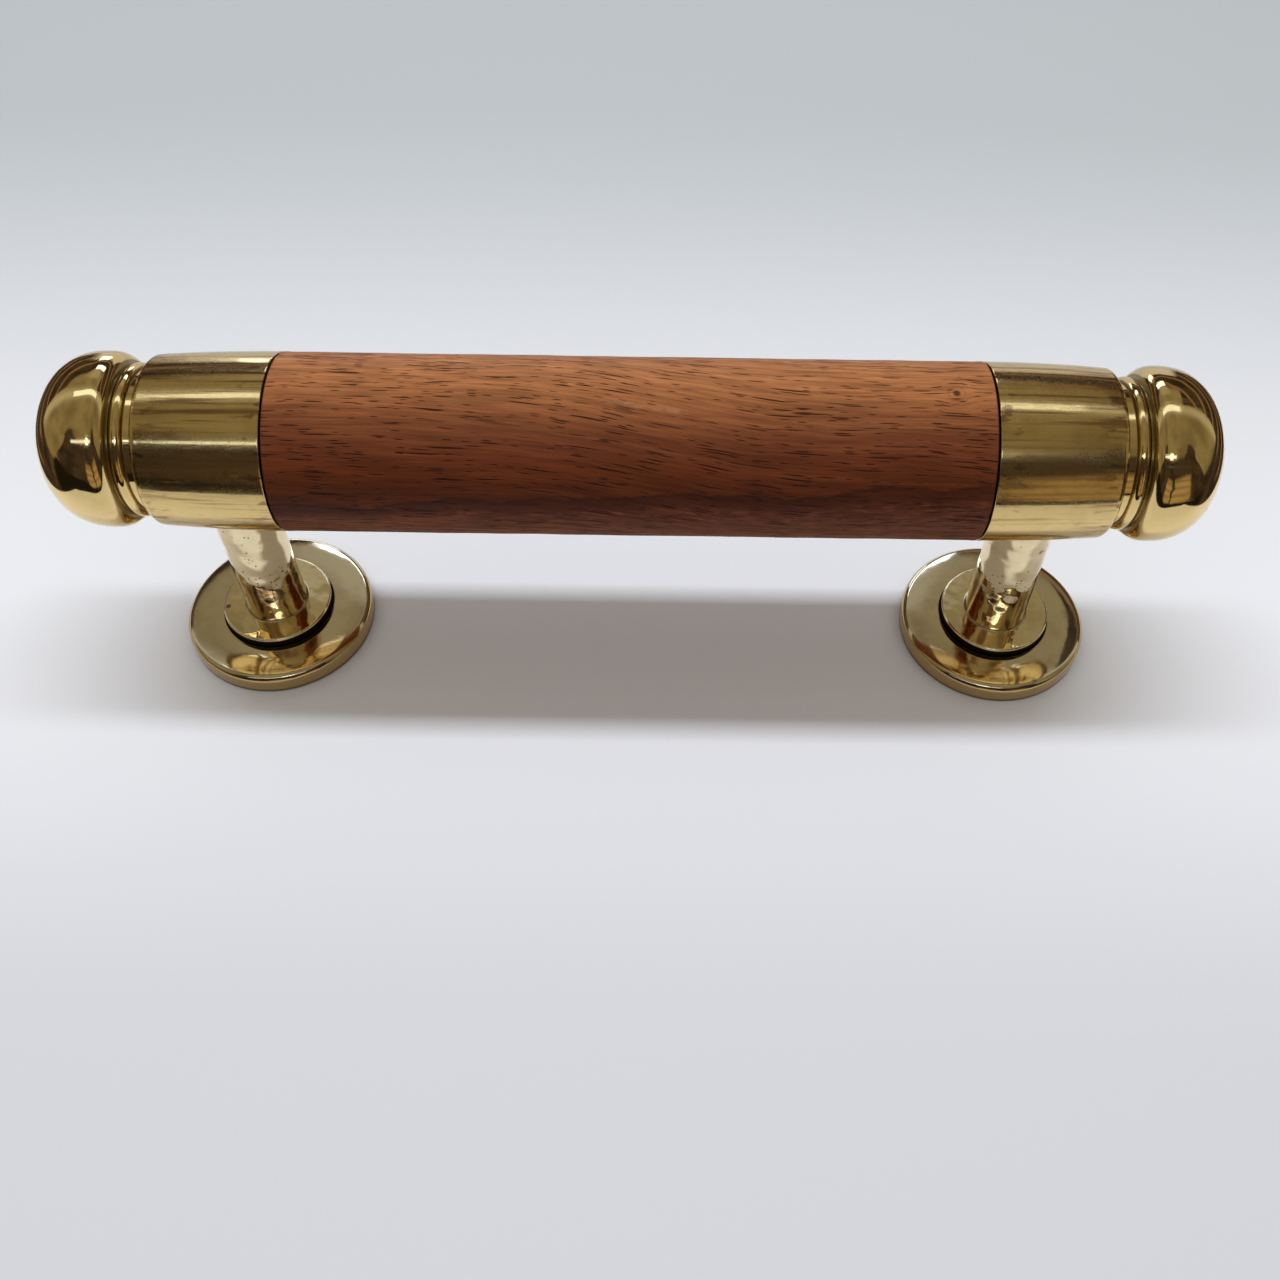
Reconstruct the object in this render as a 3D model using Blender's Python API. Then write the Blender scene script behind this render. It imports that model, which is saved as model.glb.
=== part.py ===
"""Grab rail: a turned hardwood grip held between two brass sockets on brass posts and roses.

Units are metres. The rail runs along X, +Z is up, and the roses stand on the plane Z = 0 with
the origin midway between them. Each end of the rail is modelled once, with +X pointing outwards,
and placed twice through an empty that is turned half round for the left end.
"""
from math import asin, copysign, cos, degrees, pi, radians, sin, sqrt

import bmesh
import bpy
from mathutils import Matrix

# Rail
GRIP_DIAMETER = 0.0380
GRIP_LENGTH = 0.1472
GRIP_EDGE = 0.0004
RAIL_HEIGHT = 0.0631

# Brass sockets on the ends of the grip
FERRULE_LENGTH = 0.0265
FERRULE_WALL = 0.0027
FERRULE_END_WALL = 0.0034
FERRULE_TAPER = 0.0009
FERRULE_LIP = 0.0003
SHOULDER_LENGTH = 0.0015
SHOULDER_DROP = 0.0015
TENON_CHAMFER = 0.0006

# Turned finials, whose neck and knob lie a little under the radius of the grip
NECK_DROP = 0.0038
NECK_LENGTH = 0.0018
BEAD_LENGTH = 0.0027
BEAD_RISE = 0.0011
LAND_LENGTH = 0.0005
LAND_RISE = 0.0005
KNOB_DROP = 0.00035
KNOB_SHOULDER = 0.0050
KNOB_SHOULDER_DEPTH = 0.0049
KNOB_SHOULDER_FOOT = 150
KNOB_SHOULDER_FULLNESS = 2.6
KNOB_NOSE = 0.01367
KNOB_NOSE_FULLNESS = 2.3

# Posts and roses
POST_FROM_END = 0.0118
POST_DIAMETER = 0.0146
POST_FILLET = 0.0005
FLANGE_DIAMETER = 0.0260
FLANGE_THICKNESS = 0.0022
FLANGE_EDGE = 0.0005
ROSE_DIAMETER = 0.0448
ROSE_THICKNESS = 0.0056
ROSE_EDGE = 0.0018
ROSE_FALL = 0.00025
ROSE_FOOT_CHAMFER = 0.0003
FOOT_DIAMETER = 0.0130
FOOT_RECESS = 0.0005
FIXING_BORE_DIAMETER = 0.0068
FIXING_BORE_DEPTH = 0.0220
DRILL_POINT = 0.0018
SPIGOT_DIAMETER = 0.0110
SPIGOT_ABOVE_AXIS = 0.0090

# Tie rod and its fastenings inside the finials
ROD_DIAMETER = 0.0060
ROD_REACH = 0.0135
ROD_CHAMFER = 0.0006
WASHER_DIAMETER = 0.0118
WASHER_THICKNESS = 0.0012
NUT_ACROSS_FLATS = 0.0100
NUT_HEIGHT = 0.0050
FINIAL_BORE_SPARE = 0.0010

# Gap left between pieces that touch, and the fineness of the round forms
FIT = 0.0003
SEGMENTS = 36
FINE_SEGMENTS = 48
COARSE_SEGMENTS = 24
ARC_STEPS = 4
MERGE_DISTANCE = 1e-7
SHARP_ANGLE = radians(32)

# Places worked out from the sizes above
GRIP_RADIUS = GRIP_DIAMETER / 2
GRIP_SHOULDER = GRIP_LENGTH / 2
FERRULE_START = GRIP_SHOULDER + FIT
FERRULE_END = FERRULE_START + FERRULE_LENGTH
SOCKET_RADIUS = GRIP_RADIUS - FERRULE_WALL
SOCKET_DEPTH = FERRULE_LENGTH - FERRULE_END_WALL
TENON_RADIUS = SOCKET_RADIUS - FIT
TENON_END = FERRULE_START + SOCKET_DEPTH - FIT
POST_PLACE = FERRULE_END - POST_FROM_END
ROD_HOLE_RADIUS = ROD_DIAMETER / 2 + FIT
SPIGOT_HOLE_RADIUS = SPIGOT_DIAMETER / 2 + FIT
SPIGOT_TOP = RAIL_HEIGHT + SPIGOT_ABOVE_AXIS
WASHER_START = FERRULE_END + FIT
NUT_START = WASHER_START + WASHER_THICKNESS + FIT
NUT_CORNER_RADIUS = NUT_ACROSS_FLATS / sqrt(3)
ROD_END = FERRULE_END + ROD_REACH


def clear_scene():
    """Remove every object that the file opened with."""
    for old in list(bpy.data.objects):
        bpy.data.objects.remove(old, do_unlink=True)


def finish(name, colour, roughness, metallic):
    """Make the plain material that one kind of piece wears."""
    material = bpy.data.materials.new(name)
    material.use_nodes = True
    shader = material.node_tree.nodes["Principled BSDF"]
    shader.inputs["Base Color"].default_value = (*colour, 1.0)
    shader.inputs["Roughness"].default_value = roughness
    shader.inputs["Metallic"].default_value = metallic
    return material


def squared(value, fullness):
    """A sine or cosine bent from a round curve (fullness 2) towards a square one (above 2)."""
    return copysign(abs(value) ** (2 / fullness), value)


def arc(centre, radii, start, end, steps=ARC_STEPS, fullness=2.0):
    """Points on an elliptical arc in the (along, radius) plane, with its angles in degrees."""
    points = []
    for i in range(steps + 1):
        angle = radians(start + (end - start) * i / steps)
        along = centre[0] + radii[0] * squared(cos(angle), fullness)
        points.append((along, centre[1] + radii[1] * squared(sin(angle), fullness)))
    return points


def turned_mesh(name, profile, segments):
    """Spin (along, radius) points once round the X axis into a closed mesh."""
    shape = bmesh.new()
    points = [shape.verts.new((along, 0.0, radius)) for along, radius in profile]
    edges = [shape.edges.new(pair) for pair in zip(points, points[1:])]
    bmesh.ops.spin(
        shape, geom=points + edges, cent=(0, 0, 0), axis=(1, 0, 0),
        angle=2 * pi, steps=segments, use_merge=True,
    )
    bmesh.ops.remove_doubles(shape, verts=shape.verts, dist=MERGE_DISTANCE)
    bmesh.ops.recalc_face_normals(shape, faces=shape.faces)
    mesh = bpy.data.meshes.new(name)
    shape.to_mesh(mesh)
    shape.free()
    mesh.shade_smooth()
    mesh.set_sharp_from_angle(angle=SHARP_ANGLE)
    return mesh


def place(name, mesh, material, end=None, location=(0.0, 0.0, 0.0)):
    """Put a mesh in the scene as a named piece, carried by the empty of its end of the rail."""
    piece = bpy.data.objects.new(name, mesh)
    bpy.context.scene.collection.objects.link(piece)
    if not mesh.materials:
        mesh.materials.append(material)
    piece.parent = end
    piece.location = location
    return piece


def tool(name, mesh, end=None, location=(0.0, 0.0, 0.0)):
    """Put a mesh in the scene as a cutting tool, which is no piece of the rail."""
    cutter = place(name, mesh, None, end, location)
    cutter.hide_render = True
    cutter.display_type = "WIRE"
    return cutter


def shape_with(piece, cutter, operation):
    """Cut a tool out of a piece, or join it on, with an exact Boolean."""
    boolean = piece.modifiers.new(f"{operation.lower()}_{cutter.name}", "BOOLEAN")
    boolean.operation = operation
    boolean.solver = "EXACT"
    boolean.object = cutter


def upright(mesh):
    """Turn a mesh that was spun round X so that it stands along Z."""
    mesh.transform(Matrix.Rotation(-pi / 2, 4, "Y"))
    return mesh


def rod_shape(start, end, radius):
    """Profile of a plain round bar."""
    return [(start, 0.0), (start, radius), (end, radius), (end, 0.0)]


def ring_shape(start, end, bore, radius):
    """Profile of a plain ring, closed on itself."""
    return [(start, bore), (start, radius), (end, radius), (end, bore), (start, bore)]


def grip_profile():
    """Wooden grip: a straight barrel, a turned tenon at each end and a bore for the tie rod."""
    edge = (GRIP_SHOULDER - GRIP_EDGE, GRIP_RADIUS - GRIP_EDGE)
    half = arc(edge, (GRIP_EDGE, GRIP_EDGE), 90, 0, 3)
    half += [
        (GRIP_SHOULDER, TENON_RADIUS),
        (TENON_END - TENON_CHAMFER, TENON_RADIUS),
        (TENON_END, TENON_RADIUS - TENON_CHAMFER),
        (TENON_END, ROD_HOLE_RADIUS),
    ]
    other_half = [(-along, radius) for along, radius in reversed(half)]
    return half + other_half + half[:1]


def ferrule_outline(growth=0.0):
    """Outside of a socket from mouth to end: a slow taper, then a rounded shoulder."""
    taper_end = FERRULE_LENGTH - SHOULDER_LENGTH
    end_radius = GRIP_RADIUS - FERRULE_TAPER + growth
    points = [(0.0, GRIP_RADIUS - FERRULE_LIP + growth)]
    for i in range(ARC_STEPS + 1):
        along = FERRULE_LIP + (taper_end - FERRULE_LIP) * i / ARC_STEPS
        points.append((along, GRIP_RADIUS + growth - FERRULE_TAPER * (along / taper_end) ** 2))
    shoulder = (taper_end, end_radius - SHOULDER_DROP)
    return points + arc(shoulder, (SHOULDER_LENGTH, SHOULDER_DROP), 90, 0)[1:]


def ferrule_profile():
    """Brass socket: a cup for the tenon, closed at the outer end but for the rod's hole."""
    inside = [
        (FERRULE_LENGTH, ROD_HOLE_RADIUS),
        (SOCKET_DEPTH, ROD_HOLE_RADIUS),
        (SOCKET_DEPTH, SOCKET_RADIUS),
        (0.0, SOCKET_RADIUS),
    ]
    outside = ferrule_outline()
    return outside + inside + outside[:1]


def finial_profile():
    """Turned finial: plain neck, bead, narrow land and bun-shaped knob, bored for the rod."""
    neck = GRIP_RADIUS - NECK_DROP
    knob = GRIP_RADIUS - KNOB_DROP
    land = neck + LAND_RISE
    land_end = NECK_LENGTH + BEAD_LENGTH + LAND_LENGTH
    bead_end = degrees(asin(LAND_RISE / BEAD_RISE))
    foot_reach = -squared(cos(radians(KNOB_SHOULDER_FOOT)), KNOB_SHOULDER_FULLNESS)
    knob_crown = land_end + KNOB_SHOULDER * foot_reach
    recess_depth = NUT_START + NUT_HEIGHT - FERRULE_END
    recess_radius = max(NUT_CORNER_RADIUS, WASHER_DIAMETER / 2) + FIT
    bore_end = ROD_REACH + FINIAL_BORE_SPARE
    points = [(0.0, neck)]
    bead = (NECK_LENGTH + BEAD_LENGTH / 2, neck)
    points += arc(bead, (BEAD_LENGTH / 2, BEAD_RISE), 180, bead_end, ARC_STEPS + 2)
    points.append((land_end, land))
    points += arc(
        (knob_crown, knob - KNOB_SHOULDER_DEPTH), (KNOB_SHOULDER, KNOB_SHOULDER_DEPTH),
        KNOB_SHOULDER_FOOT, 90, ARC_STEPS + 2, KNOB_SHOULDER_FULLNESS,
    )
    nose = arc((knob_crown, 0.0), (KNOB_NOSE, knob), 90, 0, 2 * ARC_STEPS, KNOB_NOSE_FULLNESS)
    points += nose[1:-1]
    points.append((knob_crown + KNOB_NOSE, 0.0))
    inside = [
        (bore_end + DRILL_POINT, 0.0),
        (bore_end, ROD_HOLE_RADIUS),
        (recess_depth, ROD_HOLE_RADIUS),
        (recess_depth, recess_radius),
        (0.0, recess_radius),
    ]
    return inside + points


def post_profile():
    """Post from its foot upwards: tapped bore, foot spigot, flange, fillet and plain shaft."""
    shaft = POST_DIAMETER / 2
    foot = FOOT_DIAMETER / 2
    flange = FLANGE_DIAMETER / 2
    bore = FIXING_BORE_DIAMETER / 2
    flange_under = ROSE_THICKNESS + FIT
    flange_top = flange_under + FLANGE_THICKNESS
    bore_end = FOOT_RECESS + FIXING_BORE_DEPTH
    points = [
        (bore_end + DRILL_POINT, 0.0),
        (bore_end, bore),
        (FOOT_RECESS, bore),
        (FOOT_RECESS, foot),
        (flange_under, foot),
        (flange_under, flange),
    ]
    points += arc((flange_top - FLANGE_EDGE, flange - FLANGE_EDGE), (FLANGE_EDGE, FLANGE_EDGE), 90, 0, 3)
    points += arc((flange_top + POST_FILLET, shaft + POST_FILLET), (POST_FILLET, POST_FILLET), 180, 270)
    return points + [(RAIL_HEIGHT, shaft), (RAIL_HEIGHT, 0.0)]


def rose_profile():
    """Rose: a round plate with a hole for the foot, flat under the flange, then falling to a rounded edge."""
    radius = ROSE_DIAMETER / 2
    hole = FOOT_DIAMETER / 2 + FIT
    points = [
        (0.0, hole),
        (0.0, radius - ROSE_FOOT_CHAMFER),
        (ROSE_FOOT_CHAMFER, radius),
    ]
    edge = (ROSE_THICKNESS - ROSE_FALL - ROSE_EDGE, radius - ROSE_EDGE)
    points += arc(edge, (ROSE_EDGE, ROSE_EDGE), 90, 0)
    return points + [(ROSE_THICKNESS, FLANGE_DIAMETER / 2), (ROSE_THICKNESS, hole), (0.0, hole)]


def tie_rod_profile():
    """Rod from finial to finial, with chamfered ends."""
    radius = ROD_DIAMETER / 2
    half = [(ROD_END - ROD_CHAMFER, radius), (ROD_END, radius - ROD_CHAMFER), (ROD_END, 0.0)]
    return [(-along, r) for along, r in reversed(half)] + half


def hexagon_mesh(name):
    """Six-sided nut blank with its length along X."""
    shape = bmesh.new()
    bmesh.ops.create_cone(
        shape, cap_ends=True, segments=6, radius1=NUT_CORNER_RADIUS,
        radius2=NUT_CORNER_RADIUS, depth=NUT_HEIGHT,
    )
    mesh = bpy.data.meshes.new(name)
    shape.to_mesh(mesh)
    shape.free()
    mesh.transform(Matrix.Rotation(pi / 2, 4, "Y"))
    return mesh


def make_grip(wood):
    """The grip, with a blind hole under each end for the spigot of its post."""
    grip = place("wood_grip", turned_mesh("wood_grip", grip_profile(), SEGMENTS), wood)
    grip.location.z = RAIL_HEIGHT
    hole = rod_shape(-GRIP_DIAMETER, SPIGOT_ABOVE_AXIS + FIT, SPIGOT_HOLE_RADIUS)
    for side, direction in (("left", -1), ("right", 1)):
        mesh = upright(turned_mesh(f"{side}_spigot_hole", hole, COARSE_SEGMENTS))
        drill = tool(f"{side}_spigot_hole", mesh, None, (direction * POST_PLACE, 0.0, RAIL_HEIGHT))
        shape_with(grip, drill, "DIFFERENCE")


def make_ferrule(side, end, brass):
    """A socket, drilled through its underside for the post's spigot."""
    mesh = turned_mesh(f"{side}_ferrule", ferrule_profile(), SEGMENTS)
    ferrule = place(f"{side}_ferrule", mesh, brass, end, (FERRULE_START, 0.0, RAIL_HEIGHT))
    hole = rod_shape(-GRIP_DIAMETER, -ROD_HOLE_RADIUS, SPIGOT_HOLE_RADIUS)
    drill_mesh = upright(turned_mesh(f"{side}_ferrule_drill", hole, COARSE_SEGMENTS))
    drill = tool(f"{side}_ferrule_drill", drill_mesh, end, (POST_PLACE, 0.0, RAIL_HEIGHT))
    shape_with(ferrule, drill, "DIFFERENCE")


def make_finial(side, end, brass):
    """A finial, seated on the end face of its socket."""
    mesh = turned_mesh(f"{side}_finial", finial_profile(), SEGMENTS)
    place(f"{side}_finial", mesh, brass, end, (FERRULE_END + FIT, 0.0, RAIL_HEIGHT))


def make_post(side, end, brass):
    """A post coped to saddle the socket, with a spigot that the tie rod passes through."""
    mesh = upright(turned_mesh(f"{side}_post", post_profile(), SEGMENTS))
    post = place(f"{side}_post", mesh, brass, end, (POST_PLACE, 0.0, 0.0))
    saddle_outline = [(0.0, 0.0), *ferrule_outline(FIT), (FERRULE_LENGTH, 0.0)]
    saddle_mesh = turned_mesh(f"{side}_saddle", saddle_outline, SEGMENTS)
    saddle = tool(f"{side}_saddle", saddle_mesh, end, (FERRULE_START, 0.0, RAIL_HEIGHT))
    shape_with(post, saddle, "DIFFERENCE")
    spigot_foot = RAIL_HEIGHT - GRIP_RADIUS - POST_DIAMETER / 2
    spigot_bar = rod_shape(spigot_foot, SPIGOT_TOP, SPIGOT_DIAMETER / 2)
    spigot_mesh = upright(turned_mesh(f"{side}_spigot", spigot_bar, COARSE_SEGMENTS))
    spigot = tool(f"{side}_spigot", spigot_mesh, end, (POST_PLACE, 0.0, 0.0))
    shape_with(post, spigot, "UNION")
    cross_hole = rod_shape(-POST_DIAMETER, POST_DIAMETER, ROD_HOLE_RADIUS)
    cross_mesh = turned_mesh(f"{side}_cross_hole", cross_hole, COARSE_SEGMENTS)
    drill = tool(f"{side}_cross_hole", cross_mesh, end, (POST_PLACE, 0.0, RAIL_HEIGHT))
    shape_with(post, drill, "DIFFERENCE")


def make_rose(side, end, brass):
    """A rose, pushed on to the foot of its post from below."""
    mesh = upright(turned_mesh(f"{side}_rose", rose_profile(), FINE_SEGMENTS))
    place(f"{side}_rose", mesh, brass, end, (POST_PLACE, 0.0, 0.0))


def make_fastenings(side, end, steel):
    """The washer and nut that draw the rod tight, covered by the finial."""
    washer_shape = ring_shape(0.0, WASHER_THICKNESS, ROD_HOLE_RADIUS, WASHER_DIAMETER / 2)
    washer_mesh = turned_mesh(f"{side}_rod_washer", washer_shape, COARSE_SEGMENTS)
    place(f"{side}_rod_washer", washer_mesh, steel, end, (WASHER_START, 0.0, RAIL_HEIGHT))
    nut_place = (NUT_START + NUT_HEIGHT / 2, 0.0, RAIL_HEIGHT)
    nut = place(f"{side}_rod_nut", hexagon_mesh(f"{side}_rod_nut"), steel, end, nut_place)
    tap_shape = rod_shape(-NUT_HEIGHT, NUT_HEIGHT, ROD_HOLE_RADIUS)
    tap_mesh = turned_mesh(f"{side}_nut_tap", tap_shape, COARSE_SEGMENTS)
    shape_with(nut, tool(f"{side}_nut_tap", tap_mesh, end, nut_place), "DIFFERENCE")


def make_tie_rod(steel):
    """The rod that runs through grip, spigots and sockets and ties both ends together."""
    rod = place("tie_rod", turned_mesh("tie_rod", tie_rod_profile(), COARSE_SEGMENTS), steel)
    rod.location.z = RAIL_HEIGHT


def make_end(side, turn, brushed_brass, polished_brass, steel):
    """One complete end of the rail, carried by an empty at the origin."""
    end = bpy.data.objects.new(f"{side}_end", None)
    bpy.context.scene.collection.objects.link(end)
    end.rotation_euler.z = turn
    make_ferrule(side, end, brushed_brass)
    make_finial(side, end, polished_brass)
    make_post(side, end, polished_brass)
    make_rose(side, end, polished_brass)
    make_fastenings(side, end, steel)


def main():
    clear_scene()
    wood = finish("oiled_hardwood", (0.33, 0.125, 0.065), 0.5, 0.0)
    brushed_brass = finish("brushed_brass", (0.70, 0.54, 0.27), 0.26, 1.0)
    polished_brass = finish("polished_brass", (0.80, 0.61, 0.30), 0.08, 1.0)
    steel = finish("plated_steel", (0.60, 0.59, 0.56), 0.35, 1.0)
    make_grip(wood)
    make_tie_rod(steel)
    for side, turn in (("left", pi), ("right", 0.0)):
        make_end(side, turn, brushed_brass, polished_brass, steel)
    bpy.context.view_layer.update()


main()
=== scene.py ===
# %% [markdown]
# # A brass and hardwood grab rail
# This lesson dresses a grab rail: a turned wooden grip between two brass sockets, with a finial on each
# end and two posts that stand on round roses. The construction is loaded first as a fixed frame, and
# every surface that shows is then drawn finer over it. All lengths are in metres, and the rail runs along X.

# %% Load the frame
from functools import reduce

import bpy
import numpy as np
from mathutils import Matrix, Vector


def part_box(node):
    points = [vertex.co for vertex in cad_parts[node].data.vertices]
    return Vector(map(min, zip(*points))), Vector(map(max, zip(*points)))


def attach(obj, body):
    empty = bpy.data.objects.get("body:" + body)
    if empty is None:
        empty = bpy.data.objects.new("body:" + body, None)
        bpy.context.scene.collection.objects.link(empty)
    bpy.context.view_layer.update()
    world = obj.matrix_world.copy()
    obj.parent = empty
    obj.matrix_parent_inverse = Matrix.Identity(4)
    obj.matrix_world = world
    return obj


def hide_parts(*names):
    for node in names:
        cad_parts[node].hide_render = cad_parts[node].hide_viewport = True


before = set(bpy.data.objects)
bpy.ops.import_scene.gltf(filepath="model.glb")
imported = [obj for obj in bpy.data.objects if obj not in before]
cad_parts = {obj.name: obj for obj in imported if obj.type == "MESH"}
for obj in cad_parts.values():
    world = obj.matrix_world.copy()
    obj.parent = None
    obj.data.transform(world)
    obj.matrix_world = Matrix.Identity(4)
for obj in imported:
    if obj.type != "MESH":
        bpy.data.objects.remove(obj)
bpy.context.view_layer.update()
print("nodes:", ", ".join(sorted(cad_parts)))

# %% [markdown]
# The frame already knows where each piece is. Reading the main sizes from the boxes of its nodes, and
# not typing them again, keeps every new surface on the piece that it stands for.

# %% Main sizes, read from the frame
grip_low, grip_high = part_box("wood_grip")
socket_low, socket_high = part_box("right_ferrule")
finial_low, finial_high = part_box("right_finial")
post_low, post_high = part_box("right_post")
rose_low, rose_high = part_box("right_rose")
rod_low, rod_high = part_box("tie_rod")
nut_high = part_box("right_rod_nut")[1]

RAIL_HEIGHT = (grip_low.z + grip_high.z) / 2
GRIP_RADIUS = (grip_high.z - grip_low.z) / 2
TENON_END = grip_high.x
FERRULE_START, FERRULE_END = socket_low.x, socket_high.x
FINIAL_START, FINIAL_END = finial_low.x, finial_high.x
POST_PLACE = (rose_low.x + rose_high.x) / 2
ROSE_RADIUS = (rose_high.x - rose_low.x) / 2
ROSE_THICKNESS = rose_high.z
FLANGE_RADIUS = (post_high.x - post_low.x) / 2
ROD_END, NUT_END = rod_high.x, nut_high.x
FIT = FINIAL_START - FERRULE_END
ROD_HOLE = (rod_high.z - rod_low.z) / 2 + FIT
GRIP_SHOULDER = FERRULE_START - FIT
TENTH = 0.0001  # a tenth of a millimetre
print(f"grip {2000 * GRIP_RADIUS:.1f} mm across, posts {2000 * POST_PLACE:.1f} mm apart")

# %% [markdown]
# The camera stands in front of the rail and looks down at it. Its place and angles were found by laying
# the model's outline over a photograph, and the middle of the lens is off the middle of the picture, so
# a small lens shift keeps the framing.

# %% Camera
CAMERA_PLACE = (0.008769, -0.193297, 0.262908)
PITCH_DOWN, TURN_RIGHT, ROLL = np.radians((52.427, 0.52, -1.19))
PICTURE_SIZE = 1280
FOCAL_PIXELS = 1293.98
LENS_MIDDLE = (679.29, 594.32)
SENSOR_WIDTH = 36.0

forward = np.array((
    np.sin(TURN_RIGHT) * np.cos(PITCH_DOWN),
    np.cos(TURN_RIGHT) * np.cos(PITCH_DOWN),
    -np.sin(PITCH_DOWN),
))
level = np.array((np.cos(TURN_RIGHT), -np.sin(TURN_RIGHT), 0.0))
below = np.cross(forward, level)
right = np.cos(ROLL) * level + np.sin(ROLL) * below
down = -np.sin(ROLL) * level + np.cos(ROLL) * below

scene = bpy.context.scene


def add_object(name, data):
    """Put new data in the scene as an object."""
    made = bpy.data.objects.new(name, data)
    scene.collection.objects.link(made)
    return made


lens = bpy.data.cameras.new("camera")
lens.sensor_width = SENSOR_WIDTH
lens.lens = FOCAL_PIXELS / PICTURE_SIZE * SENSOR_WIDTH
lens.shift_x = 0.5 - LENS_MIDDLE[0] / PICTURE_SIZE
lens.shift_y = LENS_MIDDLE[1] / PICTURE_SIZE - 0.5
lens.clip_start = 0.001
camera = add_object("camera", lens)
turn = Matrix(np.stack((right, -down, -forward), axis=1).tolist()).to_4x4()
camera.matrix_world = Matrix.Translation(CAMERA_PLACE) @ turn
scene.camera = camera
scene.view_settings.view_transform = "Standard"
print(f"camera: {lens.lens:.1f} mm lens, {np.degrees(PITCH_DOWN):.0f} degrees down")

# %% [markdown]
# Shader trees are graphs, and building one by hand takes many lines. These small helpers make a node with
# its settings and inputs in one call, and the ones after them stand for a step of arithmetic each.

# %% Helpers for shader nodes
def fill(made, inputs):
    """Fill a node's inputs: a plain value is set on the socket, another node's output is linked."""
    for key, value in inputs.items():
        if isinstance(value, bpy.types.NodeSocket):
            made.id_data.links.new(value, made.inputs[key])
        else:
            made.inputs[key].default_value = value


def node(kind, inputs, tree=None, **settings):
    """Add a node with its properties and inputs to a tree, or to the tree that its inputs come from."""
    sources = [value for value in inputs.values() if isinstance(value, bpy.types.NodeSocket)]
    made = (tree or sources[0].id_data).nodes.new(kind)
    for key, value in settings.items():
        setattr(made, key, value)
    fill(made, inputs)
    return made


def calc(operation, *values):
    """One step of arithmetic on numbers or sockets."""
    return node("ShaderNodeMath", dict(enumerate(values)), operation=operation).outputs[0]


def product(*values):
    """Several numbers or sockets multiplied together."""
    return reduce(lambda first, second: calc("MULTIPLY", first, second), values)


def largest(*values):
    """The largest of several numbers or sockets."""
    return reduce(lambda first, second: calc("MAXIMUM", first, second), values)


def plus(value, other, times):
    """A value plus another one times a number."""
    return calc("MULTIPLY_ADD", other, times, value)


def minus(value, other):
    """A value less another one."""
    return calc("SUBTRACT", value, other)


def off(value, middle=0.0):
    """How far a value is from a middle, to either side."""
    return calc("ABSOLUTE", minus(value, middle))


def ramp(value, low, high, start=0.0, end=1.0):
    """Ease from start to end as a value goes from low to high."""
    inputs = {"Value": value, "From Min": low, "From Max": high, "To Min": start, "To Max": end}
    return node("ShaderNodeMapRange", inputs, interpolation_type="SMOOTHSTEP").outputs["Result"]


def fade(value, low, high, start=1.0):
    """Ease from start to nothing as a value goes from low to high."""
    return ramp(value, low, high, start, 0.0)


def lay(under, over, *amounts, mode="MIX"):
    """Lay a colour over another by the product of some amounts; a plain colour gets full alpha."""
    under, over = ((*colour, 1.0) if isinstance(colour, tuple) else colour for colour in (under, over))
    inputs = {0: product(*amounts), 6: under, 7: over}
    return node("ShaderNodeMix", inputs, data_type="RGBA", blend_type=mode).outputs[2]


def split(place):
    """The three parts of a vector."""
    return node("ShaderNodeSeparateXYZ", {"Vector": place}).outputs


def stretch(place, scale, turn=(0.0, 0.0, 0.0)):
    """Scale a vector along each axis, then turn it, so that a pattern is drawn out along one direction."""
    return node("ShaderNodeMapping", {"Vector": place, "Rotation": turn, "Scale": scale}).outputs[0]


def noise(place, scale, detail=2.0, roughness=0.5, turn=(0.0, 0.0, 0.0)):
    """Noise with a scale along each axis, or one number for all three."""
    scale = scale if isinstance(scale, tuple) else (scale, scale, scale)
    drawn = stretch(place, scale, turn)
    inputs = {"Vector": drawn, "Scale": 1.0, "Detail": detail, "Roughness": roughness}
    return node("ShaderNodeTexNoise", inputs).outputs["Fac"]


def object_place(tree):
    """The place on the object, in metres."""
    return node("ShaderNodeTexCoord", {}, tree).outputs["Object"]


def new_material(name):
    """An empty material with its Principled shader."""
    material = bpy.data.materials.new(name)
    material.use_nodes = True
    return material, material.node_tree, material.node_tree.nodes["Principled BSDF"]

# %% [markdown]
# The floor is plain and pale, with a painted pool of light: its colour is brightest round the rail and
# darker towards the front and the back. It ends a hand's width past the rail, because polished brass shows
# all that is round it, and the darker room beyond the floor gives the brass its depth. Seen directly or in
# the metal it is pale. For light that bounces softly it is darker, so the grip keeps its own shade below.

# %% Floor
FLOOR_FRONT, FLOOR_MIDDLE, FLOOR_BACK = -0.158, 0.12, 0.36
FLOOR_HALF_WIDTH, FLOOR_BACK_HALF_WIDTH = 0.215, 0.30
FLOOR_GAP = TENTH
FLOOR_LIT_COLOUR = (0.82, 0.86, 0.945)
FLOOR_FRONT_SHADED_COLOUR = (0.655, 0.695, 0.77)
FLOOR_BACK_SHADED_COLOUR = (0.50, 0.55, 0.60)
FLOOR_BOUNCE_COLOUR = (0.60, 0.52, 0.48)
NEAR_SHADE, FAR_SHADE = (-0.02, -0.11), (0.0, 0.24)
FLOOR_ROUGHNESS, FLOOR_SHEEN = 0.9, 0.1


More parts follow.
